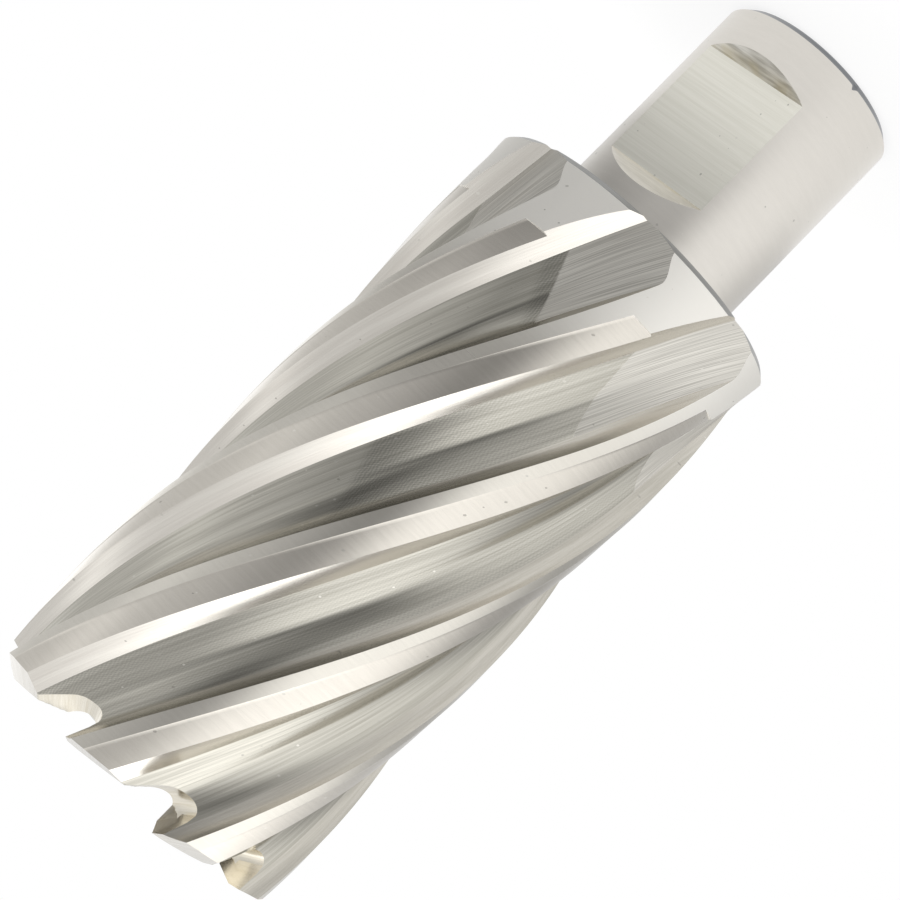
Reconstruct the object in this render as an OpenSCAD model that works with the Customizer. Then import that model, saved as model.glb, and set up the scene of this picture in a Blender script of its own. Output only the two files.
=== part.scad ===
// Annular cutter with a plain driving shank, ground from one piece of tool steel.
// It stands on its shank end: +Z runs from the shank end up to the teeth. Millimetres.

/* [Cutting end] */
// Diameter the teeth cut, over the margins
cut_d = 32; // [26:0.5:40]
// Wall between the margins and the hollow that clears the slug
wall_t = 4.4; // [3.6:0.1:5.2]
// Depth of the hollow, from the outer tooth corners
core_depth = 53; // [40:1:56]
// Shoulder to the outer tooth corners
body_len = 62.5; // [58:0.5:75]
// Bevel round the shoulder
shoulder_bevel = 0.52; // [0.3:0.05:0.8]
// How far the inner ridge of every second tooth stands out past its outer corner
tip_rise = 1.5; // [1:0.1:1.8]
// How far the outer corner of the other teeth stands out
corner_rise = 0.4; // [0.2:0.05:0.6]
// How far the inner ridge of the other teeth stands out
low_tip_rise = 1.04; // [0.7:0.02:1.2]
// Backing off behind each cutting edge, degrees
end_relief = 8; // [5:0.5:10]
// Depth of the gullet in front of each tooth
gullet_depth = 3.1; // [2.5:0.1:4]
// Radius of the gullet's root
gullet_r = 2.15; // [1.8:0.05:2.4]

/* [Flutes] */
// Angle of the flutes to the axis, degrees
helix = 30; // [25:1:33]
// Depth of the flute behind the heel
flute_depth = 1.8; // [1.4:0.1:2.2]
// Further fall of the flute floor towards the cutting side
floor_fall = 0.65; // [0.4:0.05:0.8]
// Width of the margin behind the leading edge
margin_w = 1.31; // [1:0.05:1.6]
// Width of the backed-off land behind the margin
land_w = 2.49; // [2:0.05:3]
// Depth of the backed-off land
land_relief = 0.22; // [0.1:0.02:0.4]
// Width of the sloping heel wall
heel_w = 1.48; // [1:0.05:1.8]
// Length over which the flute floor rises to the shoulder
runout_len = 10.2; // [8:0.1:14]

/* [Shank] */
// Shank diameter
shank_d = 19.05; // [18:0.05:20]
// Shank length, end to shoulder
shank_len = 23.4; // [22:0.2:32]
// Bevel at the shank end
end_bevel = 0.68; // [0.4:0.02:1]
// Depth of the two driving flats
flat_depth = 1.75; // [1.2:0.05:2.2]
// Length of the flat floor
flat_len = 12.75; // [10:0.25:14]
// Shank end to the start of the flat floor
flat_start = 5.3; // [4:0.1:7]
// Bore for the pilot pin
pilot_d = 8.1; // [6:0.1:9]

/* [Hidden] */
$fn = 96;
// Eight teeth, with two end forms in turn
flutes = 8;
pitch = 360 / flutes;
R = cut_d / 2;
// Degrees of arc in one millimetre at the cutting diameter
arc = 180 / (PI * R);
// Degrees the flutes turn per millimetre of height
twist = tan(helix) * arc;
// The flute solid is drawn a little proud of the cutting diameter, and a true cylinder trims it
proud = 0.4;
floor_r = R - flute_depth;
// Section angles of one tooth, counted back from its leading edge
u_rake = -3.1;
u_step = margin_w * arc;
u_heel = u_step + land_w * arc;
u_floor = u_heel + heel_w * arc;
u_wall = pitch + u_rake;
// The gullet side of the rake face starts this many degrees before the tooth side
rake_draft = 0.6;
root_r = floor_r - floor_fall;
heel_slope = (flute_depth - land_relief) / (u_floor - u_heel);
u_brow = u_heel - (land_relief + proud) / heel_slope;
tip_r = root_r - 0.03;
core_r = R - wall_t;
// The flutes run out on a skewed line, along an arc this large
runout_r = 41.8;
runout_skew = 0.3;
// The backed-off lands stop this far above the shoulder
land_end = 6.6;
// The gullet slopes up towards the hollow
gullet_tilt = 0.62;
gullet_arc = 180 / (PI * floor_r);
u_root = u_wall - rake_draft - gullet_r * gullet_arc;
// Turns the flutes into their place over the flats
flute_phase = 40.9;
flat_run = 1.9;

// Radius of the flute form alone, at section angle u
function wall_r(u) = root_r + (R - root_r) * pow(max(0, (u - u_rake) / -u_rake), 1.35);
function floor_form(u) = root_r + floor_fall * (1 - pow(max(0, (u - u_floor) / (u_wall - u_floor)), 2));
function flute_form(u) =
    u < 0.6 ? wall_r(u) :
    u < u_floor ? floor_r + heel_slope * (u_floor - u) :
    floor_form(u);
// Rise of the whole flute form near the shoulder, h above the shoulder
function rise(u, h) =
    let (v = u < u_step ? u + pitch : u, t = max(0, runout_len - h + runout_skew * (v - u_floor)))
    t * t / (2 * runout_r);
// Radius of the body at section angle u and height h, before the cylinder trims it
function body_r(u, h) =
    let (cut = flute_form(u) + rise(u, h),
         land = h > land_end && u > u_step + 0.1 && u < u_heel + 0.1 ? R - land_relief : R + proud)
    u > 0.4 && u < u_heel - 0.1 ? min(land, u < u_brow - 0.1 ? land : max(cut, land)) :
    min(R + proud, cut);

// Height of the tooth end over the outer corners, at radius r
function ridge(r, corner, tip, inner) =
    r > tip_r ? corner + (tip - corner) * (R - r) / (R - tip_r) :
    tip - (tip - inner) * (tip_r - r) / (tip_r - core_r);
function tooth_end(r, u, odd) =
    (odd ? ridge(r, corner_rise, low_tip_rise, 0.5) : ridge(r, 0, tip_rise, 0.8))
    - tan(end_relief) * tip_r * (u - u_rake) * PI / 180;
// Depth of the gullet below the outer corners: a slope, then a round root
function gullet_form(u) =
    let (x = (u - u_root) / gullet_arc, x0 = -gullet_r * cos(30))
    gullet_depth - gullet_r + (x > x0 ? sqrt(max(0, gullet_r * gullet_r - x * x))
                                      : gullet_r / 2 + (x - x0) * tan(60));
function gullet_end(r, u) = -gullet_form(u) + gullet_tilt * (floor_r - r);
function end_h(r, u, odd) =
    body_len + (u < u_floor - 4 ? tooth_end(r, u, odd) : min(tooth_end(r, u, odd), gullet_end(r, u)));

// Section angles of the grid for one tooth, from its rake face back to the next gullet
u_list = concat(
    [u_rake, u_rake * 0.72, u_rake * 0.4, 0.42, u_step, u_step + 0.35],
    [(u_step + u_brow) / 2, u_brow, u_heel, u_floor],
    [for (i = [1:4]) u_floor + (u_root - u_floor) * i / 5],
    [for (a = [96:-16:16]) u_root + gullet_r * gullet_arc * cos(a)],
    [u_wall - rake_draft]);
h_list = concat([-0.5, 0.5, 1.4, 2.3, 3.2, 4.1, 5.2, land_end - 0.1, land_end + 0.1, 8.1, 9.8, 12],
    [for (i = [1:9]) 12 + (body_len - 5 - 12) * i / 9]);

// One upright line of grid points: up the outside, in over the tooth end, to just inside the hollow
function point(r, u, h, k) =
    let (a = flute_phase + twist * h - u - k * pitch) [r * cos(a), r * sin(a), shank_len + h];
function column(u, k) =
    let (odd = k % 2 == 1, top = body_r(u, body_len), ridge_r = min(tip_r, top - 0.12))
    concat([for (h = h_list) point(body_r(u, h), u, h, k)],
           [for (r = [top, ridge_r, core_r - 0.7]) point(r, u, end_h(r, u, odd), k)]);

// The fluted body with its gullets and tooth ends, closed to the axis at both ends
module fluted_form() {
    columns = [for (k = [0:flutes - 1]) for (u = u_list) column(u, k)];
    n = len(columns);
    m = len(columns[0]);
    points = concat([for (c = columns) each c],
        [[0, 0, shank_len + h_list[0]], [0, 0, shank_len + body_len - 6]]);
    faces = concat(
        [for (i = [0:n - 1]) for (j = [0:m - 2])
            let (a = i * m + j, b = ((i + 1) % n) * m + j) each [[a, b + 1, a + 1], [a, b, b + 1]]],
        [for (i = [0:n - 1]) let (a = i * m, b = ((i + 1) % n) * m) [b, a, n * m]],
        [for (i = [0:n - 1]) let (a = i * m + m - 1, b = ((i + 1) % n) * m + m - 1) [a, b, n * m + 1]]);
    polyhedron(points, faces, convexity = 10);
}

// The true cylinder and shoulder bevel that trim the fluted form
module envelope() {
    top = shank_len + body_len + 4;
    rotate_extrude() polygon([[0, shank_len], [R - shoulder_bevel, shank_len],
        [R, shank_len + shoulder_bevel], [R, top], [0, top]]);
}

module shank() {
    r = shank_d / 2;
    rotate_extrude() polygon([[0, 0], [r - end_bevel, 0], [r, end_bevel * 0.95],
        [r, shank_len + 1], [0, shank_len + 1]]);
}

// One driving flat with sloping ends, facing -Y
module driving_flat() {
    y0 = -(shank_d / 2 - flat_depth);
    y1 = y0 - flat_depth - 1;
    run = flat_run * (flat_depth + 1) / flat_depth;
    translate([-shank_d, 0, 0]) rotate([90, 0, 90]) linear_extrude(2 * shank_d)
        polygon([[y0, flat_start], [y0, flat_start + flat_len],
            [y1, flat_start + flat_len + run], [y1, flat_start - run]]);
}

module annular_cutter() {
    color([0.72, 0.71, 0.69])
    difference() {
        union() {
            intersection() {
                envelope();
                fluted_form();
            }
            shank();
        }
        translate([0, 0, shank_len + body_len - core_depth]) cylinder(r = core_r, h = core_depth + 8);
        translate([0, 0, -1]) cylinder(d = pilot_d, h = shank_len + body_len);
        rotate([0, 0, 45]) driving_flat();
        rotate([0, 0, 135]) driving_flat();
    }
}

annular_cutter();
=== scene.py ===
# %% [markdown]
# # An annular cutter in ground tool steel
# The cutter is one bar of tool steel: a shank for the drill, a shoulder, and a hollow body with eight helical
# flutes and eight teeth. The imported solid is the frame, in metres, and this lesson draws the form again as one
# fine surface, so that every ground face can have its own finish and every edge runs along the grid.

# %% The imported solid
import bpy
import numpy as np
from mathutils import Matrix


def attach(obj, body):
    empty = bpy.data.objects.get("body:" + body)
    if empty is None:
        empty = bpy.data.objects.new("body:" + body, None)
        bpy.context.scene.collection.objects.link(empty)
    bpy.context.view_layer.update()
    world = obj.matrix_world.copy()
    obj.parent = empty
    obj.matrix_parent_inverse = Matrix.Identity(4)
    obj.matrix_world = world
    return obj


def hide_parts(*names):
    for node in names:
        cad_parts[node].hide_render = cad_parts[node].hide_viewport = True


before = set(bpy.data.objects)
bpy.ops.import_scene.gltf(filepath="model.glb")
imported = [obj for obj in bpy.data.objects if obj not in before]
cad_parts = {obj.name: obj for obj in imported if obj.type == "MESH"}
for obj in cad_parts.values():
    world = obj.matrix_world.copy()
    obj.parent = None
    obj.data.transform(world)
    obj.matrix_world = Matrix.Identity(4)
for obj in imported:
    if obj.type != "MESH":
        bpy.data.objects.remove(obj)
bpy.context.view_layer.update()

# %% [markdown]
# ## Sizes
# Nearly all lengths are the solid's own, in millimetres, and become metres only when the mesh is made. Angles round
# the body are counted in degrees back from the leading edge of a tooth, because each tooth repeats the same section.
# One could model a single tooth and copy it, but the shank and the run-outs would then need joining, so the whole
# section is written as numbers once and turned along the helix.

# %% Sizes in millimetres and degrees
MM = 0.001
TEETH, PITCH = 8, 45.0
BODY_R, FLOOR_R, TIP_R, CORE_R = 16.0, 14.2, 13.52, 11.6
STEP_R, HEEL_R = 15.97, 15.64  # the backed-off land falls from the step to the heel edge
SHANK_R, PILOT_R = 9.525, 4.05
SHANK_LEN, BODY_LEN, CORE_DEPTH = 23.4, 62.5, 53.0
SHOULDER_BEVEL, END_BEVEL = 0.52, 0.68
END_BEVEL_Z = END_BEVEL * 0.95  # height of the end bevel, a little less than its width
HELIX = np.radians(30)  # angle of the flutes to the axis
ARC = 180 / (np.pi * BODY_R)  # degrees in a millimetre round the body
TWIST = np.tan(HELIX) * ARC  # degrees that a flute turns in a millimetre of height
PHASE = 40.9  # turns the flutes into their place over the flats
STEP = 1.31 * ARC  # section angles: step behind the margin,
HEEL = STEP + 2.49 * ARC  # heel edge behind the land,
FLOOR = HEEL + 1.48 * ARC  # foot of the heel wall,
WALL = PITCH - 3.1  # foot of the next tooth's leading wall,
RAKE = WALL - 0.6  # and the gullet's side of the rake face
LAND_END = 6.6  # the backed-off lands stop this far above the shoulder
print(f"one turn of a flute: {360 / TWIST:.1f} mm; section angles {STEP:.2f}, {HEEL:.2f}, {FLOOR:.2f}, {WALL:.2f}")

# %% [markdown]
# ## The flute section
# A flute is ground with a formed wheel: a straight heel wall, a floor that falls away from it, and a hollow that
# steepens all the way up to the leading edge. Each of these is a simple curve of the section angle, and the largest
# of them is the surface. A soft maximum rounds the inside corners the way a wheel does. The hollow matters for the
# looks: it bends the reflections of the studio into the dark and bright bands that run along a real flute.

# %% Flute section
FLOOR_FALL = 0.069  # mm that the floor falls in a degree
HOLLOW, HOLLOW_END = 0.95, 0.9  # size of the hollow's curve in mm, and degrees from its end to the edge
FOOT_ROUND, HOLLOW_ROUND = 0.03, 0.09  # rounding of the two inside corners, mm


def soft_max(a, b, width):
    """The larger of a and b, rounded where they cross: width times log(exp(a / width) + exp(b / width))."""
    return width * np.logaddexp(a / width, b / width)


def flute_radius(v):
    """Radius of the bare flute at section angle v: heel line, falling floor line, and a logarithm for the hollow,
    which ends at the leading edge with a slope of about 75 degrees."""
    heel = FLOOR_R + (HEEL_R - FLOOR_R) * (FLOOR - v) / (FLOOR - HEEL)
    floor = FLOOR_R - FLOOR_FALL * (v - FLOOR)
    hollow = BODY_R - HOLLOW * np.log((PITCH + HOLLOW_END - v) / HOLLOW_END)
    return soft_max(soft_max(heel, floor, FOOT_ROUND), hollow, HOLLOW_ROUND)


print("flute depth by the leading wall:", round(float(BODY_R - flute_radius(np.array([WALL]))[0]), 2), "mm")

# %% [markdown]
# ## The run-out
# Near the shoulder the wheel lifts out of the work along an arc, so the flute grows shallow and ends in a slanting
# line. Subtracting a wheel with a Boolean would give this too, but with loose triangles along the edges. Here the
# lift is a number that is added to the flute's radius, and the place where it meets the outside is searched for.

# %% Run-out and open span
LIFT_HIGH, LIFT_BEND, BEND_SPAN = 15.25, 6.4, 15  # highest lift line, its fall to the foot, over these degrees
HEEL_TILT = 0.353  # fall of the line up the heel wall, mm in a degree
LEAD_DIP, DIP_START, LEAD_CLIMB = 1.25, 35, 4.9  # dip before the leading wall, where it starts, climb along it
RUNOUT_R = 41.8  # the wheel's arc


def past_runout(v, h):
    """Millimetres past the line where the wheel starts to lift out, at height h over the shoulder. The line is at
    8.85 at the foot of the heel wall and 15.25 fifteen degrees on, dips by 1.25, and climbs by 4.9 along the
    leading wall."""
    bend = 1 - np.clip((v - FLOOR) / BEND_SPAN, 0, 1)
    line = LIFT_HIGH - LIFT_BEND * bend ** 1.5 + HEEL_TILT * np.minimum(v - FLOOR, 0)
    line = line - LEAD_DIP * np.clip((v - DIP_START) / (WALL - DIP_START), 0, 1) ** 2
    return line + LEAD_CLIMB * np.clip((v - WALL) / (PITCH - WALL), 0, 1) - h


def flute_rise(v, h):
    """Lift of the flute near the shoulder: the square of the way past the lift line, over twice the arc's radius."""
    return np.maximum(0, past_runout(v, h)) ** 2 / (2 * RUNOUT_R)


def body_radius(h):
    """Radius of the plain body at height h over the shoulder, with the shoulder's bevel."""
    return BODY_R - np.maximum(0, SHOULDER_BEVEL - h)


def open_span(h, outside):
    """First and last section angle at which the flute lies below the given outside radius, for every height h."""
    v = np.linspace(6, PITCH + 0.02, 4000)
    over = flute_radius(v)[None, :] + flute_rise(v[None, :], h[:, None]) - outside[:, None]
    low = over < 0
    low[np.arange(len(h)), over.argmin(axis=1)] = True
    return v[low.argmax(axis=1)], v[len(v) - 1 - low[:, ::-1].argmax(axis=1)]


first, last = open_span(np.array([1.0, 30.0]), np.array([BODY_R, BODY_R]))
print("flute open from", np.round(first, 1), "to", np.round(last, 1), "degrees, 1 and 30 mm above the shoulder")

# %% [markdown]
# ## The tooth ends
# Each tooth ends in a ridge near the inner edge, backed off behind the cutting edge in two ground facets, and the
# two end forms take turns so that they share the cut. In front of each tooth a gullet with a round root is ground
# through the wall, sloping up towards the hollow. Both are heights over the section, and the lower one is kept.

# %% Tooth ends and gullets
CORNER_RISE, TIP_RISE, INNER_RISE = (0.0, 0.4), (1.5, 1.04), (0.8, 0.5)  # mm, for even and for odd teeth
FACET, FACET_SLOPE, BACK_SLOPE = 0.75, np.tan(np.radians(6)), np.tan(np.radians(8.6))
GULLET_R, GULLET_DEPTH, GULLET_TILT = 2.15, 3.1, 0.62


def tooth_end(r, u, odd):
    """Height of a tooth's end: straight from outer corner to ridge to inner corner, less two backing-off slopes."""
    corner, tip, inner = (np.where(odd, b, a) for a, b in (CORNER_RISE, TIP_RISE, INNER_RISE))
    outer = corner + (tip - corner) * (BODY_R - r) / (BODY_R - TIP_R)
    inside = tip - (tip - inner) * (TIP_R - r) / (TIP_R - CORE_R)
    back = np.radians(u - (WALL - PITCH)) * TIP_R
    drop = FACET_SLOPE * np.minimum(back, FACET) + BACK_SLOPE * np.maximum(0, back - FACET)
    return np.where(r > TIP_R, outer, inside) - drop


def gullet_end(r, v):
    """Height of the gullet: a 60 degree slope, then a circle for the root, the whole rising towards the hollow."""
    arc = 180 / (np.pi * FLOOR_R)
    x = (v - (RAKE - GULLET_R * arc)) / arc
    bend = -GULLET_R * np.cos(np.radians(30))
    root = np.sqrt(np.maximum(0, GULLET_R ** 2 - np.clip(x, bend, GULLET_R) ** 2))
    slope = GULLET_R / 2 + (x - bend) * np.tan(np.radians(60))
    return -(GULLET_DEPTH - GULLET_R + np.where(x > bend, root, slope)) + GULLET_TILT * (FLOOR_R - r)


def end_height(r, v, odd, in_gullet, u):
    """Height over the shoulder of the end of the body: tooth or gullet, whichever is lower."""
    tooth_h = tooth_end(r, u, odd)
    return BODY_LEN + np.where(in_gullet, np.minimum(tooth_h, gullet_end(r, v)), tooth_h)


print("ridges over the corners, mm:", TIP_RISE, "and gullet depth:", GULLET_DEPTH)

# %% [markdown]
# ## One grid for the whole cutter
# The surface of a body with a hole right through it is a torus, so one grid of rows and columns covers it with no
# pole and no seam. Rows run round the tool, and columns run from the pilot bore over the shank end, up the shank,
# out over the shoulder, along the flutes, in over the teeth and back down the hollow. On the body the columns are
# moved for every row so that they stay on the leading edge, the step, the heel edge and the root.

# %% Columns: section angles that follow the edges
STEP_HALF = 0.12  # half the width of the step's slope, degrees
LEAST = 0.02  # least width of a zone where the run-out closes it, degrees
COUNTS = (7, 1, 9, 6, 27, 1, 9)  # margin, step, land, heel wall, floor, rake face, leading wall
PER_TOOTH = sum(COUNTS)
COLUMNS = TEETH * PER_TOOTH
zone = np.repeat(np.arange(len(COUNTS)), COUNTS)  # which of these seven a face column belongs to


def knot_blend(counts):
    """Where the knots are among the grid lines, and the share of each knot in each line: straight between knots."""
    at_line = np.concatenate([[0], np.cumsum(counts)])
    lines = np.arange(at_line[-1] + 1)
    return at_line, np.stack([np.interp(lines, at_line, knot) for knot in np.eye(len(at_line))], axis=1)


knot_at, blend_knots = knot_blend(COUNTS)
column = np.arange(PER_TOOTH + 1)


def section_angles(h):
    """Section angle of every column of one tooth at every height: knots on the edges, even steps between them."""
    relieved = np.where(h > LAND_END, BODY_R - HEEL_R, 0.0)
    heel, _ = open_span(h, body_radius(h) - relieved)
    _, lead = open_span(h, body_radius(h))
    floor = np.clip(FLOOR, heel + LEAST, np.maximum(lead - 3 * LEAST, heel + LEAST))
    rake = np.clip(RAKE, floor + LEAST, np.maximum(lead - 2 * LEAST, floor + LEAST))
    wall = np.clip(WALL, rake + LEAST, np.maximum(lead - LEAST, rake + LEAST))
    lead = np.maximum(lead, wall + LEAST)
    step = np.full_like(h, STEP)
    knots = np.stack([lead - PITCH, step - STEP_HALF, step + STEP_HALF, heel, floor, rake, wall, lead], axis=1)
    return knots @ blend_knots.T


def outside_radius(v, h):
    """Radius of the outside on the columns of section_angles: plain, backed off, or the flute with its rise."""
    plain = np.broadcast_to(body_radius(h), v.shape)
    fall = np.interp(column, knot_at[1:4], [0, BODY_R - STEP_R, BODY_R - HEEL_R]) * (column <= knot_at[3])
    backed = plain - np.where(h > LAND_END, fall, 0.0)
    cut = np.minimum(backed, flute_radius(v) + flute_rise(v, h))
    return np.where(column > knot_at[3], cut, backed)


print(f"{COLUMNS} columns, {PER_TOOTH} to a tooth")

# %% [markdown]
# ## Rows of the body
# The rows lie close where something changes: at the shoulder's bevel, where the lands stop, and along the run-out.
# Further up the section only turns, and the rows are wider apart. At the teeth they bend to the height of the end
# on every column, so that ridges, gullets and rake faces are edges of the grid, and then go in to the hollow.

# %% Rows of the fluted body
BEVEL_ROWS, PLAIN_ROWS = 3, 15  # rows over the bevel, and on to where the lands stop
LAND_ROW = BEVEL_ROWS + PLAIN_ROWS + 1  # first row with backed-off lands
END_ROWS, UP_ROWS = 4, 14  # rows in to the ridge and from it to the hollow, and up to the ends


def spaced(*stops):
    """Heights through the given (value, steps) stops, with even steps between them."""
    values, steps = zip(*stops)
    return np.interp(np.arange(sum(steps[1:]) + 1), np.cumsum((0,) + steps[1:]), values)


low_h = spaced((0, 0), (SHOULDER_BEVEL, BEVEL_ROWS), (LAND_END - 0.02, PLAIN_ROWS), (LAND_END + 0.02, 1),
               (18, 18), (56, 48))
low_v = section_angles(low_h)
low_r = outside_radius(low_v, low_h[:, None])
top_v, top_r = low_v[-1], low_r[-1]
tooth = np.arange(TEETH)[:, None]
ahead = column >= knot_at[6]  # the leading wall belongs to the next tooth
odd = (tooth + ahead) % 2 == 1
in_gullet = (column > knot_at[4] - 1) & (column <= knot_at[5])


def end_row(r):
    """Height of the body's end on every column of every tooth, at radius r."""
    return end_height(r, top_v, odd, in_gullet, np.where(ahead, top_v - PITCH, top_v))


ridge_r = np.minimum(TIP_R, top_r - 0.12)
inwards = spaced((0, 0), (1, END_ROWS))[1:, None]
upwards = spaced((0, 0), (1, UP_ROWS))[1:, None, None]
end_r = np.concatenate([top_r + (ridge_r - top_r) * inwards, ridge_r + (CORE_R - ridge_r) * inwards])
top_h = low_h[-1] + (end_row(top_r)[None] - low_h[-1]) * upwards
end_h = end_row(end_r[:, None, :])
body_h = np.concatenate([np.broadcast_to(low_h[:, None, None], (len(low_h),) + odd.shape), top_h, end_h])
body_v = np.concatenate([low_v, np.repeat(top_v[None], len(top_h) + len(end_h), axis=0)])[:, None, :]
body_r = np.concatenate([low_r, np.repeat(top_r[None], len(top_h), axis=0), end_r])[:, None, :]
body_angle = PHASE + TWIST * body_h - body_v - PITCH * tooth


def ring(values):
    """(row, tooth, column) laid out as rows of all columns; the last column of a tooth is the next one's first."""
    return np.broadcast_to(values, body_h.shape)[:, :, :PER_TOOTH].reshape(len(body_h), COLUMNS)


ring_h, ring_r, ring_angle = ring(body_h), ring(body_r), ring(body_angle)
print(f"body rows: {len(low_h)} along the flutes, {len(top_h)} by the teeth, {len(end_h)} over the ends")

# %% [markdown]
# ## Shank with driving flats
# The shank is turned and has two milled flats with sloping ends, a quarter turn apart. Cutting them with a Boolean
# would leave ragged triangles, so the grid is pulled onto the flat instead: its columns meet the long edges, and
# its rows bend along the curved ends. The edge of the end bevel has one small nick, from handling.

# %% Columns of the shank
FLAT_R, FLAT_LOW, FLAT_HIGH = SHANK_R - 1.75, 5.3, 18.05
FLAT_MIDS = np.array([-45.0, 45.0])
step_angle = 360 / COLUMNS
start = np.mean(ring_angle[0] + step_angle * np.arange(COLUMNS))
even_angle = start - step_angle * np.arange(COLUMNS)
half_flat = np.degrees(np.arccos(FLAT_R / SHANK_R))
edges = np.concatenate([FLAT_MIDS - half_flat, FLAT_MIDS + half_flat])
edges = np.sort(edges + 360 * np.round((start - 180 - edges) / 360))[::-1]
edge_column = np.round((start - edges) / step_angle)
shank_angle = np.interp(np.arange(COLUMNS), np.concatenate([[0], edge_column, [COLUMNS]]),
                        np.concatenate([[start], edges, [start - 360]]))
off_mid = (shank_angle[None] - FLAT_MIDS[:, None] + 180) % 360 - 180
off_mid = off_mid[np.abs(off_mid).argmin(axis=0), np.arange(COLUMNS)]
in_flat = np.abs(off_mid) < half_flat - 1e-6
print(f"{int(in_flat.sum())} columns lie inside the two flats, each {2 * half_flat:.1f} degrees wide")

# %% Rows of the shank
LOW_RUN, HIGH_RUN = 1.15, 1.9  # length of the end walls; the one by the shank end is steeper
LIP = 0.04  # the rows stop this far outside the flat's outline
SHANK_STEPS = (6, 5, 16, 5, 6)  # rows below the flat, on its end wall, floor, end wall, and above
NICK_AT, NICK_HALF, NICK_UP, NICK_IN = -93.2, 1.3, 0.25, 0.16  # degrees, degrees, mm, mm
sunk = np.maximum(0, SHANK_R * np.cos(np.radians(off_mid)) - FLAT_R)
low_slope, high_slope = LOW_RUN / (SHANK_R - FLAT_R), HIGH_RUN / (SHANK_R - FLAT_R)
full = np.ones(COLUMNS)
flat_edges = np.stack([END_BEVEL_Z * full, FLAT_LOW - low_slope * sunk - LIP, FLAT_LOW * full,
                       FLAT_HIGH * full, FLAT_HIGH + high_slope * sunk + LIP, SHANK_LEN * full])
shank_knots, shank_blend = knot_blend(SHANK_STEPS)
shank_z = shank_blend @ flat_edges
wall_rise = np.maximum(np.maximum((FLAT_LOW - shank_z) / low_slope, (shank_z - FLAT_HIGH) / high_slope), 0)
flat_r = np.minimum(SHANK_R, (FLAT_R + wall_rise) / np.cos(np.radians(off_mid)))
shank_r = np.where(in_flat, flat_r, SHANK_R)
nick = np.exp(-(((shank_angle - NICK_AT + 180) % 360 - 180) / NICK_HALF) ** 2)
shank_z[0] += NICK_UP * nick
shank_r[0] -= NICK_IN * nick
print(f"flats {2 * SHANK_R * np.sin(np.radians(half_flat)):.2f} mm across, {FLAT_HIGH - FLAT_LOW:.2f} mm long")

# %% [markdown]
# ## All rows together
# What is left is plain: the end face, the shoulder, the hollow with its flat floor, and the pilot bore. Lathe work
# like this could be spun from a profile, but it has to meet the fluted rows point by point. So each is a few
# straight rows between its neighbours, and the angles spread to even steps where nothing shows.

# %% All rows of the torus
def between(a, b, fractions):
    """Straight rows from row a to row b at the given fractions."""
    return a + (b - a) * np.asarray(fractions)[:, None]


FACE, SHOULDER, CORE_FLOOR, BORE = (0, 0.5, 1), (0.25, 0.6), (0.4, 1), (0.3, 0.6, 0.9)  # places of the rows
deep = (np.arange(1, 15) / 14) ** 1.3  # rows down the hollow, closer by the teeth
shift = int(round(np.mean(ring_angle[-1] - even_angle) / step_angle))
core_angle = even_angle + shift * step_angle
core_z = SHANK_LEN + BODY_LEN - CORE_DEPTH
level_rows = np.ones((len(deep), COLUMNS))
parts = [  # name, angle, radius, height
    ("end face", between(even_angle, shank_angle, FACE),
     between(PILOT_R * full, (SHANK_R - END_BEVEL) * full, FACE), 0 * level_rows[:len(FACE)]),
    ("end bevel", shank_angle[None], (SHANK_R - END_BEVEL / 2) * level_rows[:1], END_BEVEL_Z / 2 * level_rows[:1]),
    ("shank", np.repeat(shank_angle[None], len(shank_z), axis=0), shank_r, shank_z),
    ("shoulder", between(shank_angle, ring_angle[0], SHOULDER),
     between(SHANK_R * full, ring_r[0], SHOULDER), SHANK_LEN * level_rows[:len(SHOULDER)]),
    ("body", ring_angle, ring_r, SHANK_LEN + ring_h),
    ("core wall", between(ring_angle[-1], core_angle, np.minimum(1, deep * 1.6)),
     CORE_R * level_rows, between(SHANK_LEN + ring_h[-1], core_z * full, deep)),
    ("core floor", between(core_angle, core_angle, CORE_FLOOR),
     between(CORE_R * full, PILOT_R * full, CORE_FLOOR), core_z * level_rows[:len(CORE_FLOOR)]),
    ("pilot bore", between(core_angle, core_angle, BORE),
     PILOT_R * level_rows[:len(BORE)], between(core_z * full, 0 * full, BORE)),
]
names, angles, radii, heights = zip(*parts)
row_ends = np.cumsum([len(rows) for rows in angles])
at = dict(zip(names, [0, *row_ends[:-1].tolist()]))  # first row of each part
ROWS = int(row_ends[-1])
angle, radius, height = (np.concatenate(rows) for rows in (angles, radii, heights))
points = np.stack([radius * np.cos(np.radians(angle)), radius * np.sin(np.radians(angle)), height], axis=-1)
print(f"{ROWS} rows by {COLUMNS} columns:", at)

# %% [markdown]
# ## Faces
# Each square of the grid is a face, and the last row joins the first one, which lies some columns on because the
# flutes have turned. Whether the faces point outwards is not guessed: the volume they enclose is worked out, and if
# it comes out negative, every face is turned over.

# %% Faces of the grid
row_a, column_a = np.meshgrid(np.arange(ROWS), np.arange(COLUMNS), indexing="ij")
row_b = (row_a + 1) % ROWS
column_b = (column_a + 1) % COLUMNS
turn = np.where(row_b == 0, shift, 0)
corners = [row_a * COLUMNS + column_a, row_a * COLUMNS + column_b,
           row_b * COLUMNS + (column_b - turn) % COLUMNS, row_b * COLUMNS + (column_a - turn) % COLUMNS]
faces = np.stack(corners, axis=-1).reshape(-1, 4)
flat_points = points.reshape(-1, 3)
a, b, c, d = (flat_points[faces[:, i]] for i in range(4))
volume = np.sum(np.cross(b - a, c - a) * a + np.cross(c - a, d - a) * a) / 6
turned = volume < 0
if turned:
    faces = faces[:, ::-1]
print(f"{len(faces)} faces, {2 * len(faces)} triangles, volume {abs(volume):.0f} mm3, turned: {turned}")

# %% [markdown]
# ## Which face has which finish
# The real cutter is ground in many settings, and every setting leaves its own face. Finishes could be picked by the
# direction of a face, but two different grinds may face the same way. The grid already knows: a face's row and
# column say which part of the tool it is, so the finish is painted by rows and columns.

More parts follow.
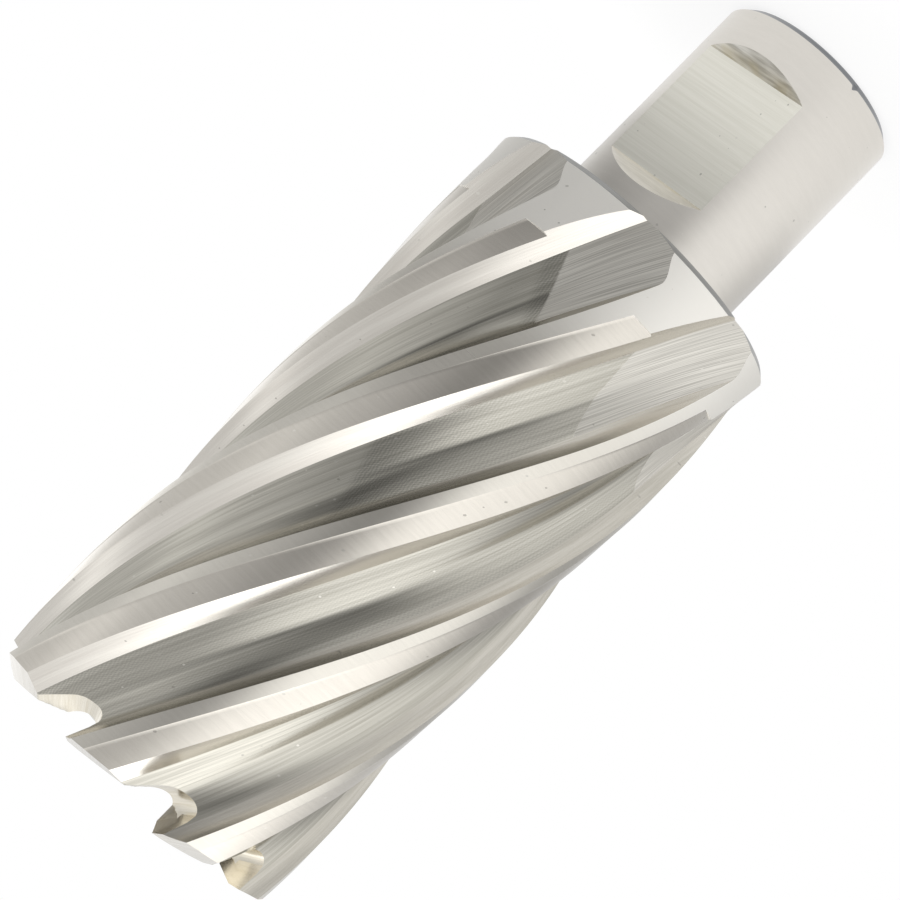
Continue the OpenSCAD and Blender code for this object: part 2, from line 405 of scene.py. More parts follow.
# %% Finish of every face
FINISHES = ["margin", "land", "heel wall", "flute floor", "lead wall", "tooth end", "gullet", "shank", "flat",
            "flat end", "bevel", "plain face", "bore", "end bevel"]
ZONE_FINISH = ["margin", "land", "land", "heel wall", "flute floor", "flute floor", "lead wall"]
finish = np.zeros((ROWS, COLUMNS), int)


def paint(first_row, past_row, columns, name):
    """Gives the faces from first_row up to past_row, in these columns, a finish."""
    finish[first_row:past_row, columns] = FINISHES.index(name)


tooth_zone = np.tile(zone, TEETH)
every = np.ones(COLUMNS, bool)
flat_faces = in_flat | np.roll(in_flat, -1)
below, foot, top, above = (at["shank"] + shank_knots[1:5]).tolist()
body_0, ends_0 = at["body"], at["body"] + len(low_h) + len(top_h) - 1
core_0 = at["core wall"] - 1
paint(0, at["end bevel"] - 1, every, "plain face")
paint(at["end bevel"] - 1, at["shank"], every, "end bevel")
paint(at["shank"], at["shoulder"] - 1, every, "shank")
paint(below, above, flat_faces, "flat end")
paint(foot, top, flat_faces, "flat")
paint(at["shoulder"] - 1, body_0, every, "plain face")
for index, name in enumerate(ZONE_FINISH):
    paint(body_0, ends_0, tooth_zone == index, name)
paint(body_0, body_0 + LAND_ROW, (tooth_zone == 1) | (tooth_zone == 2), "margin")
paint(body_0, body_0 + BEVEL_ROWS, tooth_zone < 3, "bevel")
paint(ends_0, core_0, every, "tooth end")
paint(ends_0, core_0, (tooth_zone == 4) | (tooth_zone == 5), "gullet")
paint(core_0, ROWS, every, "bore")
print({name: int((finish == i).sum()) for i, name in enumerate(FINISHES)})

# %% [markdown]
# ## The pattern map
# Grinding lines follow the flute, not the axes of the room. So the first UV map holds millimetres across and along
# the flute, and the lines keep their real spacing and turn with the helix. The second holds the section angle and
# the height over the shoulder. The third holds the way past two marks that cross each floor on a slant: where the
# wheel lifted out, and where it dwelt and began to chatter. Each flute has its own marks, as on a real cutter.

# %% Pattern maps
LIFT_MARK = np.array([  # mm over the shoulder at the heel wall, and mm that it climbs in a degree, for each flute
    [7.3, 0.35], [6.8, 0.33], [6.0, 0.286], [8.2, 0.38], [7.2, 0.35], [6.4, 0.32], [7.6, 0.36], [6, 0.34]])
CHATTER_MARK = np.array([
    [20, 0.3], [33, 0.4], [8, 0.247], [28.8, 0.318], [66, 0.35], [15, 0.3], [25, 0.35], [36, 0.3]])
TOOTH_APART = 100  # each tooth takes its own piece of the pattern, this many mm on
wide = np.broadcast_to(body_v, body_h.shape)
lifted, chattered = (mark[:, :1] + mark[:, 1:] * (wide - FLOOR) - body_h for mark in (LIFT_MARK, CHATTER_MARK))
body_across, body_along = np.radians(wide) * BODY_R, body_h / np.cos(HELIX)
loop_angle = np.concatenate([angle, angle[:, :1] - 360], axis=1)
across = np.radians(loop_angle) * np.concatenate([radius, radius[:, :1]], axis=1)
along = np.concatenate([height, height[:, :1]], axis=1)
tooth_of, column_of = np.divmod(np.arange(COLUMNS), PER_TOOTH)
body_rows = np.arange(body_0, core_0)
uv, section, marks = (np.zeros((ROWS, COLUMNS, 4, 2)) for _ in range(3))
for i, (down, side) in enumerate(((0, 0), (0, 1), (1, 1), (1, 0))):  # the four corners of a face
    rows = np.minimum(np.arange(ROWS) + down, ROWS - 1)
    uv[:, :, i, 0] = across[rows][:, side:COLUMNS + side]
    uv[:, :, i, 1] = along[rows][:, side:COLUMNS + side]
    place = ((body_rows - body_0 + down)[:, None], tooth_of, column_of + side)
    uv[body_rows, :, i] = np.stack([body_across[place] + TOOTH_APART * tooth_of, body_along[place]], axis=-1)
    section[body_rows, :, i] = np.stack([wide[place], body_h[place]], axis=-1)
    marks[body_rows, :, i] = np.stack([lifted[place], chattered[place]], axis=-1)
pattern_maps = {"millimetres": uv, "section": section, "marks": marks}
print("pattern map spans, mm:", np.round(np.ptp(uv.reshape(-1, 2), axis=0), 1))

# %% [markdown]
# ## The mesh
# foreach_set puts whole arrays into a mesh at once, which is much quicker than adding faces one by one. Edges
# sharper than 22 degrees are shaded sharp. The outlines of the flats are marked as well, because their walls meet
# the shank at a small angle at the tips and would shade round there.

# %% The cutter's mesh
mesh = bpy.data.meshes.new("cutter_surface")
mesh.vertices.add(len(flat_points))
mesh.vertices.foreach_set("co", (flat_points * MM).astype(np.float32).ravel())
mesh.loops.add(4 * len(faces))
mesh.loops.foreach_set("vertex_index", faces.astype(np.int32).ravel())
mesh.polygons.add(len(faces))
mesh.polygons.foreach_set("loop_start", np.arange(0, 4 * len(faces), 4, dtype=np.int32))
mesh.polygons.foreach_set("loop_total", np.full(len(faces), 4, dtype=np.int32))
mesh.polygons.foreach_set("use_smooth", np.ones(len(faces), dtype=bool))
mesh.update(calc_edges=True)
mesh.validate()
for name, values in pattern_maps.items():
    values = values.reshape(-1, 4, 2)
    values = values[:, ::-1] if turned else values
    mesh.uv_layers.new(name=name).data.foreach_set("uv", values.astype(np.float32).ravel())
cutter = bpy.data.objects.new("cutter_surface", mesh)
bpy.context.collection.objects.link(cutter)
print("cutter size, mm:", [round(1000 * s, 2) for s in cutter.dimensions])

# %% Sharp edges
mesh.set_sharp_from_angle(angle=np.radians(22))
loop_edge = np.zeros(len(mesh.loops), np.int32)
mesh.loops.foreach_get("edge_index", loop_edge)
by_edge = np.argsort(loop_edge, kind="stable")
sides = np.repeat(finish.ravel(), 4)[by_edge].reshape(-1, 2)  # the finishes on the two sides of each edge
milled = np.isin(sides, [FINISHES.index("flat"), FINISHES.index("flat end")]).any(axis=1)
outline = milled & (sides[:, 0] != sides[:, 1])
sharp = np.zeros(len(mesh.edges), bool)
mesh.attributes["sharp_edge"].data.foreach_get("value", sharp)
mesh.attributes["sharp_edge"].data.foreach_set("value", sharp | outline)
print(int((sharp | outline).sum()), "sharp edges,", int(outline.sum()), "of them round the flats")

# %% [markdown]
# ## Finishes
# Everything is the same tool steel, and what differs is how each face was ground or milled. Bare steel is a metal
# with a warm pale grey reflection, and the wheel's lines blur it more across than along. An image of brushed metal
# would do for one view, but noise that is stretched along the wheel's path, at the spacing of the marks, has no
# seams and follows every face. It changes the colour a little and turns the normal a little.

# %% Helpers for colours and nodes
def linear(hex_colour):
    """Linear RGBA of an sRGB hex colour: c / 12.92 below 0.04045, else ((c + 0.055) / 1.055) to the power 2.4."""
    c = np.array([int(hex_colour[i:i + 2], 16) / 255 for i in (1, 3, 5)])
    return (*np.where(c < 0.04045, c / 12.92, ((c + 0.055) / 1.055) ** 2.4), 1.0)


def add(tree, kind, inputs=None, **settings):
    """Adds a node, sets its settings, and sets or links its inputs: a node is linked by its first output that is in
    use, a socket is linked as it is, and anything else is a value."""
    node = tree.nodes.new(kind)
    for name, value in settings.items():
        setattr(node, name, value)
    for name, value in (inputs or {}).items():
        if isinstance(value, bpy.types.Node):
            value = next(socket for socket in value.outputs if socket.enabled)
        if isinstance(value, bpy.types.NodeSocket):
            tree.links.new(value, node.inputs[name])
        else:
            node.inputs[name].default_value = value
    return node


def empty_tree(owner):
    """The node tree of a material or world, with nothing in it."""
    owner.use_nodes = True
    owner.node_tree.nodes.clear()
    return owner.node_tree


print("warm steel grey, linear:", np.round(linear("#DCD8CF")[:3], 3))

# %% [markdown]
# ## Ground steel
# One recipe serves all the finishes. Fine lines and broader streaks along the same path mix a duller and a brighter
# steel. Handling leaves small pits and bright nicks here and there. The steel is a metal with the default IOR, its
# roughness is the wheel's, and the reflections stretch across the lines.

# %% Ground steel
BROADER = 0.22  # scale of the streaks: 4.5 times as wide as the lines
STREAK_SHIFT = (7.3, 3.1, 0)  # so that streaks and lines don't fall together
PIT_CELL, PIT_SHARE, PIT_R = 1.9, 0.28, 0.075  # mm a cell, share of cells with a pit, largest radius in cells
PIT_MIX, ANISOTROPY = 0.6, 0.3  # how much of a pit's colour shows, and how far the lines stretch reflections


def ground_steel(name, bright, dull, roughness, lay, marks_mm, depth, shade=None):
    """Steel with grinding marks: lay is the way they run, marks_mm their width and length, and depth is in mm. The
    colour goes from dull to bright with the marks, and shade may change colour and roughness from place to place.
    Pits and nicks up to 0.28 mm wide lie about 3.6 mm apart, drawn a little larger than the real ones to show."""
    material = bpy.data.materials.new(name)
    tree = empty_tree(material)
    place = add(tree, "ShaderNodeUVMap", uv_map="millimetres")
    wide_mm, long_mm = marks_mm if lay == "along" else marks_mm[::-1]
    fine = add(tree, "ShaderNodeMapping", {"Vector": place, "Scale": (1 / wide_mm, 1 / long_mm, 1)})
    lines = add(tree, "ShaderNodeTexNoise", {"Vector": fine, "Scale": 1.0, "Detail": 2.0,
                "Roughness": 0.65}, noise_dimensions="2D")
    broad = add(tree, "ShaderNodeMapping", {"Vector": place, "Location": STREAK_SHIFT,
                "Scale": (BROADER / wide_mm, BROADER / long_mm, 1)})
    streaks = add(tree, "ShaderNodeTexNoise", {"Vector": broad, "Scale": 1.0, "Detail": 1.0},
                  noise_dimensions="2D")
    both = add(tree, "ShaderNodeMath", {0: lines, 1: streaks}, operation="ADD")
    share = add(tree, "ShaderNodeMapRange", {"Value": both, "From Min": 0.7, "From Max": 1.3})
    colour = add(tree, "ShaderNodeMix", {"Factor": share, "A": linear(dull), "B": linear(bright)},
                 data_type="RGBA")
    if shade:
        colour, roughness = shade(tree, colour, roughness)
    cell = add(tree, "ShaderNodeMapping", {"Vector": place, "Scale": (1 / PIT_CELL, 1 / PIT_CELL, 1)})
    spots = add(tree, "ShaderNodeTexVoronoi", {"Vector": cell, "Scale": 1.0}, voronoi_dimensions="2D")
    chosen = add(tree, "ShaderNodeSeparateColor", {"Color": spots.outputs["Color"]})
    width = add(tree, "ShaderNodeMapRange", {"Value": chosen.outputs["Red"], "From Min": 1 - PIT_SHARE,
                "From Max": 1.0, "To Min": 0.0, "To Max": PIT_R})
    inside = add(tree, "ShaderNodeMath", {0: spots, 1: width}, operation="LESS_THAN")
    pit = add(tree, "ShaderNodeMix", {"Factor": chosen.outputs["Green"], "A": linear("#8C8982"),
              "B": linear("#EFECE4")}, data_type="RGBA")
    pitted = add(tree, "ShaderNodeMath", {0: inside, 1: PIT_MIX}, operation="MULTIPLY")
    colour = add(tree, "ShaderNodeMix", {"Factor": pitted, "A": colour, "B": pit}, data_type="RGBA")
    bump = add(tree, "ShaderNodeBump", {"Height": lines, "Strength": 1.0, "Distance": depth * MM})
    tangent = add(tree, "ShaderNodeTangent", direction_type="UV_MAP", uv_map="millimetres")
    surface = add(tree, "ShaderNodeBsdfPrincipled", {"Base Color": colour, "Metallic": 1.0, "Roughness": roughness,
                  "Anisotropic": ANISOTROPY, "Anisotropic Rotation": 0.0 if lay == "along" else 0.25,
                  "Normal": bump, "Tangent": tangent})
    add(tree, "ShaderNodeOutputMaterial", {"Surface": surface})
    return material


print(f"pits: one in {1 / PIT_SHARE:.1f} cells of {PIT_CELL} mm, up to {2 * PIT_R * PIT_CELL:.2f} mm wide")

# %% [markdown]
# ## Chatter on the flute floor
# Where the wheel dwells it begins to chatter, and the floor gets a dark weave of short dashes that fades along the
# flute. Past the line where the wheel lifts out, the floor is rougher, with long drawn scores, and paler as a
# painted sheen. The dashes could be modelled, but they are a few micrometres deep. So the weave is the product of
# two sine waves, bent a little by noise, and it only changes the colour.

# %% Shade of the flute floor
ONSET, LIFT_EDGE = 0.7, 0.15  # half widths of the two slanting borders, mm
FADE_START, FADE_END, FADE_LEFT = 1.0, 16.0, 0.35  # mm past the chatter mark, and what is left of it there
DASH_W, DASH_L, WAVE = 0.3, 0.47, 6.283  # mm across and along, and one wave in radians
DASH_DARK, DASH_LIGHT, WAVER = 0.5, 0.04, (3.5, 5.0, 0)  # shares of the dark tone, and how far noise bends the waves
# the run-out's scores are real; the last number is how much of their paler colour, a painted sheen, covers the
# run-out
SCORE_W, SCORE_L, SCORE_SHEEN_MIX = 0.10, 12.0, 0.8  # scores of the run-out, mm, and how much they cover
LIFTED_ROUGHNESS = 0.5


def chatter_shade(tree, colour, roughness):
    """Floor past the chatter mark: darker, with a weave of dashes, until the wheel lifted out; then rough scores,
    paler as painted sheen.
    """
    place = add(tree, "ShaderNodeUVMap", uv_map="millimetres")
    past_marks = add(tree, "ShaderNodeUVMap", uv_map="marks")
    split = add(tree, "ShaderNodeSeparateXYZ", {"Vector": past_marks})
    begun = add(tree, "ShaderNodeMapRange", {"Value": split.outputs["Y"], "From Min": -ONSET, "From Max": ONSET},
                interpolation_type="SMOOTHSTEP")
    fading = add(tree, "ShaderNodeMapRange", {"Value": split.outputs["Y"], "From Min": FADE_START,
                 "From Max": FADE_END, "To Min": 1.0, "To Max": FADE_LEFT})
    still_in = add(tree, "ShaderNodeMapRange", {"Value": split.outputs["X"], "From Min": -LIFT_EDGE,
                   "From Max": LIFT_EDGE, "To Min": 1.0, "To Max": 0.0}, interpolation_type="SMOOTHSTEP")
    dwell = add(tree, "ShaderNodeMath", {0: begun, 1: fading}, operation="MULTIPLY")
    rough_part = add(tree, "ShaderNodeMath", {0: dwell, 1: still_in}, operation="MULTIPLY")
    cell = add(tree, "ShaderNodeMapping", {"Vector": place, "Scale": (WAVE / DASH_W, WAVE / DASH_L, 1)})
    waver = add(tree, "ShaderNodeTexNoise", {"Vector": place, "Scale": 1.1, "Detail": 1.0}, noise_dimensions="2D")
    moved = add(tree, "ShaderNodeVectorMath", {0: waver.outputs["Color"], 1: WAVER}, operation="MULTIPLY")
    bent = add(tree, "ShaderNodeVectorMath", {0: cell, 1: moved}, operation="ADD")
    waves = add(tree, "ShaderNodeVectorMath", {0: bent}, operation="SINE")
    dashes = add(tree, "ShaderNodeSeparateXYZ", {"Vector": waves})
    weave = add(tree, "ShaderNodeMath", {0: dashes.outputs["X"], 1: dashes.outputs["Y"]}, operation="MULTIPLY")
    tone = add(tree, "ShaderNodeMapRange", {"Value": weave, "From Min": -1.0, "From Max": 1.0,
               "To Min": DASH_DARK, "To Max": DASH_LIGHT})
    share = add(tree, "ShaderNodeMath", {0: rough_part, 1: tone}, operation="MULTIPLY")
    darker = add(tree, "ShaderNodeMix", {"Factor": share, "A": colour, "B": linear("#5E5D57")}, data_type="RGBA")
    past = add(tree, "ShaderNodeMapRange", {"Value": split.outputs["X"], "From Min": -LIFT_EDGE,
               "From Max": LIFT_EDGE}, interpolation_type="SMOOTHSTEP")
    # Painted sheen: past the lift line the floor takes a pale scored colour. The scores are real, and the paler
    # colour stands in for a brighter reflection.
    scores_and_sheen = add(tree, "ShaderNodeMapRange", {"Value": past, "To Min": 0.0, "To Max": SCORE_SHEEN_MIX})
    rougher = add(tree, "ShaderNodeMapRange", {"Value": past, "To Min": roughness, "To Max": LIFTED_ROUGHNESS})
    drawn = add(tree, "ShaderNodeMapping", {"Vector": place, "Scale": (1 / SCORE_W, 1 / SCORE_L, 1)})
    scores = add(tree, "ShaderNodeTexNoise", {"Vector": drawn, "Scale": 1.0, "Detail": 2.0},
                 noise_dimensions="2D")
    scored = add(tree, "ShaderNodeMapRange", {"Value": scores, "From Min": 0.3, "From Max": 0.65})
    lines = add(tree, "ShaderNodeMix", {"Factor": scored, "A": linear("#BDBAB3"),
                "B": linear("#ECE9E2")}, data_type="RGBA")
    floor_colour = add(tree, "ShaderNodeMix", {"Factor": scores_and_sheen, "A": darker, "B": lines}, data_type="RGBA")
    return floor_colour, rougher


print(f"chatter dashes {DASH_W} by {DASH_L} mm, scores {SCORE_W} mm wide")

# %% [markdown]
# ## Satin and painted sheen by the shoulder
# The outside is ground bright along the teeth, and towards the shoulder it keeps more of the satin of the turning.
# There the colour is also made paler, as a painted sheen for the satin's bright blurred reflection.
# A second material would leave a hard line between the two, so the roughness and the colour change slowly with the
# height over the shoulder.

# %% Shade of the margins
SATIN_FROM, SATIN_TO, SATIN_ROUGHNESS = 6.0, 24.0, 0.6  # mm over the shoulder
# painted sheen: mm over the shoulder where the paler colour fades out, and its largest share
SHEEN_FROM, SHEEN_TO, SHEEN_MIX = 5.0, 18.0, 0.85


def satin_and_sheen_shade(tree, colour, roughness):
    """Margin: rough, and paler as painted sheen, up to the first height, then a smooth step to bright at the second
    one.
    """
    place = add(tree, "ShaderNodeUVMap", uv_map="section")
    split = add(tree, "ShaderNodeSeparateXYZ", {"Vector": place})
    satin = add(tree, "ShaderNodeMapRange", {"Value": split.outputs["Y"], "From Min": SATIN_FROM,
                "From Max": SATIN_TO, "To Min": SATIN_ROUGHNESS, "To Max": roughness},
                interpolation_type="SMOOTHSTEP")
    # Painted sheen: near the shoulder a near-white steel colour stands in for the satin's bright reflection.
    paler = add(tree, "ShaderNodeMapRange", {"Value": split.outputs["Y"], "From Min": SHEEN_FROM,
                "From Max": SHEEN_TO, "To Min": SHEEN_MIX, "To Max": 0.0}, interpolation_type="SMOOTHSTEP")
    sheen_colour = add(tree, "ShaderNodeMix", {"Factor": paler, "A": colour,
                      "B": linear("#F4F2ED")}, data_type="RGBA")
    return sheen_colour, satin


print(f"satin from {SATIN_FROM} to {SATIN_TO} mm over the shoulder")

# %% [markdown]
# ## Torn end walls of the flats
# The mill that cuts a flat tears the steel where it enters, so the end wall by the shank end has a burr of pale and
# dark streaks, and a little golden oil is left along the foot of both walls. A raised burr would need a far finer
# grid for something a tenth of a millimetre high, so it is drawn as stretched noise in the colour.

# %% Shade of the flats' end walls
MID_FLAT = 11.0  # height that tells the two end walls apart, mm
OIL_FAR, OIL_NEAR = (0.05, 0.4), (0.75, 0.35)  # where the oil ends, mm beyond the flat's two ends
OIL_LEAST, OIL_MOST = 0.1, 0.36
BURR_FAR, BURR_NEAR = 0.1, 0.7  # how much of the streaks shows on the two walls


def burr_shade(tree, colour, roughness):
    """End wall of a flat: streaks 4 mm by 0.25 mm, strong by the shank end, and patches of oil along the foot."""
    place = add(tree, "ShaderNodeUVMap", uv_map="millimetres")
    up = add(tree, "ShaderNodeSeparateXYZ", {"Vector": place}).outputs["Y"]
    far_foot = add(tree, "ShaderNodeMapRange", {"Value": up, "From Min": FLAT_HIGH + OIL_FAR[0],
                   "From Max": FLAT_HIGH + OIL_FAR[1], "To Min": 1.0, "To Max": 0.0})
    near_foot = add(tree, "ShaderNodeMapRange", {"Value": up, "From Min": FLAT_LOW - OIL_NEAR[0],
                    "From Max": FLAT_LOW - OIL_NEAR[1], "To Min": 0.0, "To Max": 1.0})
    nearer = add(tree, "ShaderNodeMath", {0: up, 1: MID_FLAT}, operation="LESS_THAN")
    near_oil = add(tree, "ShaderNodeMath", {0: near_foot, 1: nearer}, operation="MULTIPLY")
    is_far = add(tree, "ShaderNodeMath", {0: nearer, 1: far_foot}, operation="LESS_THAN")
    far_oil = add(tree, "ShaderNodeMath", {0: is_far, 1: far_foot}, operation="MULTIPLY")
    oil = add(tree, "ShaderNodeMath", {0: near_oil, 1: far_oil}, operation="MAXIMUM")
    patch = add(tree, "ShaderNodeTexNoise", {"Vector": place, "Scale": 0.35}, noise_dimensions="2D")
    spread = add(tree, "ShaderNodeMapRange", {"Value": patch, "From Min": 0.4, "From Max": 0.6,
                 "To Min": OIL_LEAST, "To Max": OIL_MOST})
    oily = add(tree, "ShaderNodeMath", {0: oil, 1: spread}, operation="MULTIPLY")
    drag = add(tree, "ShaderNodeMapping", {"Vector": place, "Scale": (1 / 4.0, 1 / 0.25, 1)})
    tear = add(tree, "ShaderNodeTexNoise", {"Vector": drag, "Scale": 1.0, "Detail": 3.0}, noise_dimensions="2D")
    torn = add(tree, "ShaderNodeMapRange", {"Value": tear, "From Min": 0.35, "From Max": 0.65})
    streaks = add(tree, "ShaderNodeMix", {"Factor": torn, "A": linear("#B4B1A8"),
                  "B": linear("#F4F2EC")}, data_type="RGBA")
    burr = add(tree, "ShaderNodeMapRange", {"Value": nearer, "To Min": BURR_FAR, "To Max": BURR_NEAR})
    smeared = add(tree, "ShaderNodeMix", {"Factor": burr, "A": colour, "B": streaks}, data_type="RGBA")
    wall_colour = add(tree, "ShaderNodeMix", {"Factor": oily, "A": smeared,
                      "B": linear("#CDBF95")}, data_type="RGBA")
    return wall_colour, roughness


print(f"burr streaks cover {BURR_NEAR:.0%} of the wall by the shank end and {BURR_FAR:.0%} of the other")

# %% [markdown]
# ## The steels
# Now every finish gets its numbers. The colours are those of clean steel, a little warmer where a face was ground
# hot, except where light is painted: the rim of the shank end is darker as painted shade, and the satin by the
# shoulder and the run-outs of the flutes are paler as painted sheen. The width of the lines is the grit's, drawn two
# or three times as coarse as it is where it would not show. A finer wheel gives a lower roughness, and turning and
# boring give a higher one.

# %% Steel finishes
STEELS = [  # name, bright, dull, roughness, way of the lines, their width and length in mm, depth in mm, shade
    # Ground round the tool: nearly a mirror, with hair-fine lines across the tooth, and satin by the shoulder, paler
    # there as painted sheen.
    ("ground steel margin", "#DCD8CF", "#D8D4CB", 0.17, "across", (0.07, 1.4), 0.0003, satin_and_sheen_shade),
    # Backed off by the same wheel: as bright as the margin, and it shows another part of the studio.
    ("ground steel land", "#DBD6CD", "#D6D1C8", 0.17, "across", (0.08, 1.6), 0.0004),
    # Side of the flute wheel: a bright narrow band with long lines.
    ("ground steel heel wall", "#E6E2DA", "#DCD7CF", 0.20, "along", (0.10, 6.0), 0.001),
    # Rim of the flute wheel: long dark and light lines, the chatter weave, and the scored run-out, paler as painted
    # sheen.
    ("ground steel flute floor", "#CECBC1", "#B2AFA5", 0.19, "along", (0.07, 7.0), 0.0011, chatter_shade),
    # Corner of the flute wheel, where it wears: a softer, greyer band below the edge.
    ("ground steel lead wall", "#CFCBC2", "#BEBAB0", 0.25, "along", (0.10, 6.0), 0.0012),
    # Sharpened last: the brightest faces, with short clean lines.
    ("ground steel tooth end", "#E8E5DF", "#DDD9D1", 0.20, "along", (0.08, 1.5), 0.001),
    # Ground with a narrow wheel that runs hot: bright, with a straw tint.
    ("ground steel gullet", "#E4DFD3", "#D6CFBF", 0.22, "along", (0.10, 2.0), 0.0015),
    # Ground between centres and left satin: an even pale grey with no clear reflection.
    ("satin steel shank", "#DFDBD4", "#DCD8D1", 0.29, "across", (0.10, 0.8), 0.0002),
    # Milled across the shank: paler, with straight lines from the cutter's feed.
    ("milled steel flat", "#F0EEE4", "#E7E5DA", 0.32, "across", (0.10, 6.0), 0.0012),
    # The same mill where it enters and leaves: rough, torn, with traces of oil.
    ("milled steel flat end", "#DCD8D0", "#CCC8BF", 0.36, "across", (0.15, 1.5), 0.003, burr_shade),
    # Turned before hardening and never ground: a thin dark line round the shoulder.
    ("turned steel bevel", "#9A9A98", "#8C8C8A", 0.30, "across", (0.10, 6.0), 0.001),
    # Faced on the lathe: rings that blur the reflection.
    ("turned steel face", "#C6C3BC", "#B7B3AC", 0.34, "across", (0.20, 6.0), 0.002),
    # Bored: pale and dull, with rings from the boring bar.
    ("bored steel hollow", "#E0DCD4", "#D0CCC4", 0.45, "across", (0.20, 6.0), 0.003),
    # Painted shade: a dark bluish grey for the rim of the shank end, which faces away and lies in shade.
    ("turned steel end bevel", "#85878A", "#76787B", 0.30, "across", (0.10, 6.0), 0.001),
]
for steel in STEELS:
    mesh.materials.append(ground_steel(*steel))
mesh.polygons.foreach_set("material_index", finish.ravel().astype(np.int32))
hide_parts("annular_cutter")
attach(cutter, "root")
print(len(mesh.materials), "finishes for", len(FINISHES), "kinds of face")

# %% [markdown]
# ## Floor
# The tool stands on its shank end on white paper. A real sheet has an edge that would show, so the floor is a small
# disc that fades into the white of the background at its rim. To the camera and in reflections it is mostly plain
# white, and the rest is matt paper, which keeps the tool's shadow.

# %% Floor
FLOOR_EDGE, FADE_FROM, WHITE_SHARE = 0.05, 0.02, 0.82  # metres, metres, share of plain white at the middle
PAPER_WHITE = 1.03


def seen_directly(tree):
    """1 for rays from the camera, from a reflection or through glass, else 0."""
    rays = add(tree, "ShaderNodeLightPath")
    seen = add(tree, "ShaderNodeMath", {0: rays.outputs["Is Camera Ray"], 1: rays.outputs["Is Glossy Ray"]},
               operation="MAXIMUM")
    return add(tree, "ShaderNodeMath", {0: seen, 1: rays.outputs["Is Transmission Ray"]}, operation="MAXIMUM")


rim = np.radians(np.linspace(0, 360, 96, endpoint=False))
floor_points = np.stack([FLOOR_EDGE * np.cos(rim), FLOOR_EDGE * np.sin(rim), np.zeros(len(rim))], axis=-1)
floor_mesh = bpy.data.meshes.new("floor")
floor_mesh.from_pydata(floor_points.tolist(), [], [list(range(len(rim)))])
floor = bpy.data.objects.new("floor", floor_mesh)
bpy.context.collection.objects.link(floor)
white = bpy.data.materials.new("white paper floor")
tree = empty_tree(white)
spot = add(tree, "ShaderNodeTexCoord")
reach = add(tree, "ShaderNodeVectorMath", {0: spot.outputs["Object"]}, operation="LENGTH")
fade = add(tree, "ShaderNodeMapRange", {"Value": reach, "From Min": FADE_FROM,
           "From Max": FLOOR_EDGE, "To Min": WHITE_SHARE, "To Max": 1.0})
share = add(tree, "ShaderNodeMath", {0: seen_directly(tree), 1: fade}, operation="MULTIPLY")
paper = add(tree, "ShaderNodeBsdfDiffuse", {"Color": linear("#F4F4F4")})
glow = add(tree, "ShaderNodeEmission", {"Color": (1, 1, 1, 1), "Strength": PAPER_WHITE})
both = add(tree, "ShaderNodeMixShader", {0: share, 1: paper, 2: glow})
add(tree, "ShaderNodeOutputMaterial", {"Surface": both})
floor_mesh.materials.append(white)
print(f"floor disc {2000 * FLOOR_EDGE:.0f} mm across")

# %% [markdown]
# ## Tent wall
# Bright steel shows its surroundings, so the tent needs the soft lights and dark gaps that a photo studio has. A
# few area lamps would do for a matt thing, but a lamp has hard edges in a mirror. Here the wall is one plain base
# level, and each softbox adds a soft hill of light to it and each gap takes one away. The wall stands still round
# the tool, and the camera looks through it.

# %% Light on the tent wall
TENT_R, TENT_LOW, TENT_HIGH = 0.16, -0.10, 0.60
FRONT = -73.94  # bearing of the camera, degrees from +X
BASE_LIGHT, LEAST_LIGHT = 0.70, 0.05
SOFT_LIGHTS = [
    # what it is, level, bearing from the camera and half width in degrees, height and half height in metres
    ("large softbox on the left", 1.38, -80, 39, 0.192, 0.144),
    ("small softbox left of the camera", 0.75, -30, 16, 0.054, 0.051),
    ("gap for the camera", -0.68, -17, 30, 0.066, 0.048),
    ("lower edge of that gap", -0.35, -14, 18, 0.007, 0.022),
    ("dark table edge on the right", -0.60, 72, 34, 0.003, 0.020),
    ("tall strip light on the right", 0.40, 69, 9, 0.240, 0.117),
    ("window at the back, right", 0.63, 151, 14.5, 0.105, 0.078),
    ("doorway at the back, left", -0.80, -112, 26, 0.058, 0.048),
    ("light from the roof, all round", 0.40, 0, 400, 0.450, 0.120),
]


def soft_hill(turn, z, level, bearing, half_width, height, half_height):
    """A hill of light on the wall: level times exp(-x * x / 2 - y * y / 2), x and y in half widths and heights."""
    x = ((turn - FRONT - bearing + 180) % 360 - 180) / half_width
    return level * np.exp(-x ** 2 / 2 - ((z - height) / half_height) ** 2 / 2)


wall_turn, wall_z = np.meshgrid(np.linspace(0, 360, 241), np.linspace(TENT_LOW, TENT_HIGH, 71))
wall_light = BASE_LIGHT + sum(soft_hill(wall_turn, wall_z, *light[1:]) for light in SOFT_LIGHTS)
print(f"{len(SOFT_LIGHTS)} soft lights and gaps, light {wall_light.min():.2f} to {wall_light.max():.2f}")

# %% Tent wall
wall_x, wall_y = TENT_R * np.cos(np.radians(wall_turn)), TENT_R * np.sin(np.radians(wall_turn))
wall_points = np.stack([wall_x, wall_y, wall_z], axis=-1).reshape(-1, 3)
cells = np.arange(wall_turn.size).reshape(wall_turn.shape)
wall_faces = np.stack([cells[:-1, :-1], cells[1:, :-1], cells[1:, 1:], cells[:-1, 1:]], axis=-1).reshape(-1, 4)
wall_mesh = bpy.data.meshes.new("tent_wall")
wall_mesh.from_pydata(wall_points.tolist(), [], wall_faces.tolist())
wall_level = wall_mesh.attributes.new("light", "FLOAT", "POINT")
wall_level.data.foreach_set("value", np.maximum(wall_light, LEAST_LIGHT).astype(np.float32).ravel())
tent_wall = bpy.data.objects.new("tent_wall", wall_mesh)
bpy.context.collection.objects.link(tent_wall)
tent_wall.visible_camera = False
cloth = bpy.data.materials.new("lit tent cloth")
tree = empty_tree(cloth)
cloth_light = add(tree, "ShaderNodeAttribute", attribute_name="light")
lit = add(tree, "ShaderNodeEmission", {"Color": (1, 1, 1, 1), "Strength": cloth_light.outputs["Fac"]})
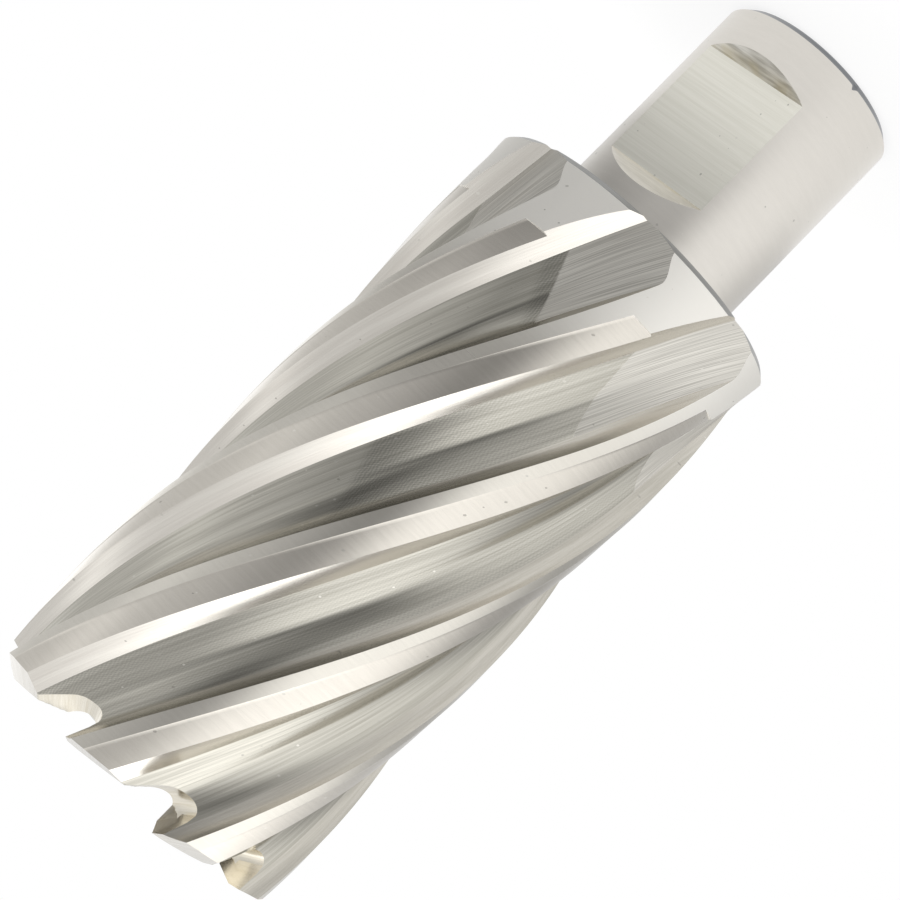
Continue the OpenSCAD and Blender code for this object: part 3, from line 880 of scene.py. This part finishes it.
add(tree, "ShaderNodeOutputMaterial", {"Surface": lit})
wall_mesh.materials.append(cloth)
print(f"tent wall: {len(wall_faces)} faces")

# %% [markdown]
# ## World
# Above and below the tent wall everything is white. The camera and the reflections see exactly white, and the matt
# paper gets a little more light than that, so that the shadow on it stays pale.

# %% World
WORLD_LIGHT, WORLD_WHITE = 1.12, 1.0
world = bpy.data.worlds.new("white studio")
bpy.context.scene.world = world
tree = empty_tree(world)
sky = add(tree, "ShaderNodeMapRange", {"Value": seen_directly(tree), "To Min": WORLD_LIGHT, "To Max": WORLD_WHITE})
tent = add(tree, "ShaderNodeBackground", {"Color": (1, 1, 1, 1), "Strength": sky})
add(tree, "ShaderNodeOutputWorld", {"Surface": tent})
print(f"world: {WORLD_WHITE} as seen, {WORLD_LIGHT} as light")

# %% [markdown]
# ## Camera
# The camera looks at the tool from the side, from 179 mm off its axis, and is rolled so that the tool lies across
# the frame. A Track To constraint can't roll, so the three axes of the camera are worked out and put in its matrix.

# %% Camera
CAMERA_AT = np.array([49.401, -171.828, 64.194])
heading, tilt, roll = np.radians([-16.064, -5.484, -135.543])
forward = np.array([np.sin(heading) * np.cos(tilt), np.cos(heading) * np.cos(tilt), np.sin(tilt)])
level_right = np.cross(forward, [0, 0, 1]) / np.linalg.norm(np.cross(forward, [0, 0, 1]))
level_up = np.cross(level_right, forward)
right = np.cos(roll) * level_right + np.sin(roll) * level_up
stand = np.eye(4)
stand[:3, 0], stand[:3, 1], stand[:3, 2] = right, np.cross(right, forward), -forward
stand[:3, 3] = CAMERA_AT * MM
lens = bpy.data.cameras.new("camera")
lens.sensor_width, lens.lens, lens.clip_start, lens.clip_end = 36, 80.705, 0.01, 20
camera = bpy.data.objects.new("camera", lens)
camera.matrix_world = Matrix(stand.tolist())
bpy.context.collection.objects.link(camera)
bpy.context.scene.camera = camera
bpy.context.scene.view_settings.view_transform = "Standard"
print(f"camera {np.hypot(*CAMERA_AT[:2]):.0f} mm from the axis, {lens.lens:.1f} mm lens")
